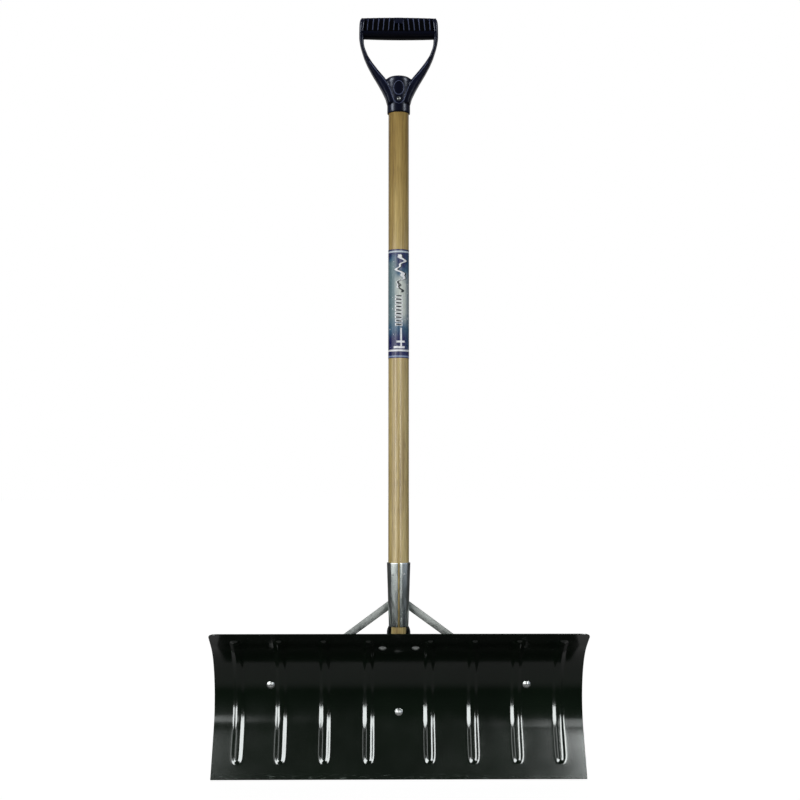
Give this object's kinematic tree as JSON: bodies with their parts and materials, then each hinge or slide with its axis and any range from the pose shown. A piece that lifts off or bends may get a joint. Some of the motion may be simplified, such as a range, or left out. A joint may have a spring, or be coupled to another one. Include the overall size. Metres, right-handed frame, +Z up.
{
  "type": "snow shovel",
  "caption": "Wide snow pusher: curved, ribbed steel blade bolted to a braced ash handle with a moulded D-grip.",
  "frame": {"origin": "middle of the scraping edge, at the centre of the sheet's cut edge", "axes": "+Z up along the handle, -Y towards the hollow front of the blade, +X to the right seen from the front"},
  "size_m": [0.6096, 0.1456, 1.2781],
  "materials": {
    "blade_paint": "gloss black-green enamel over steel, light scuffs at the scraping edge",
    "bracket_paint": "black enamel on pressed steel",
    "zinc": "bright zinc plate",
    "galvanised": "galvanised strip with a fine spangle",
    "ash": "varnished ash with long straight grain",
    "label_film": "printed gloss film, blue and grey bands, no lettering",
    "grip_plastic": "moulded navy plastic, semi-gloss"
  },
  "bodies": {
    "root": {"blade": "blade_paint", "handle_bracket": "bracket_paint", "ferrule": "galvanised", "ferrule_brads": "zinc", "handle_shaft": "ash", "label_sleeve": "label_film", "d_grip": "grip_plastic", "brace_left": "galvanised", "brace_right": "galvanised", "bracket_upper_bolts": "zinc", "bracket_upper_washers": "zinc", "bracket_upper_nuts": "zinc", "bracket_lower_bolt": "zinc", "bracket_lower_washer": "zinc", "bracket_lower_nut": "zinc", "brace_bolts": "zinc", "brace_washers": "zinc", "brace_nuts": "zinc", "brace_screw": "zinc", "brace_screw_washer": "zinc", "bracket_handle_screw": "zinc", "grip_screw": "zinc"}
  },
  "joints": []
}
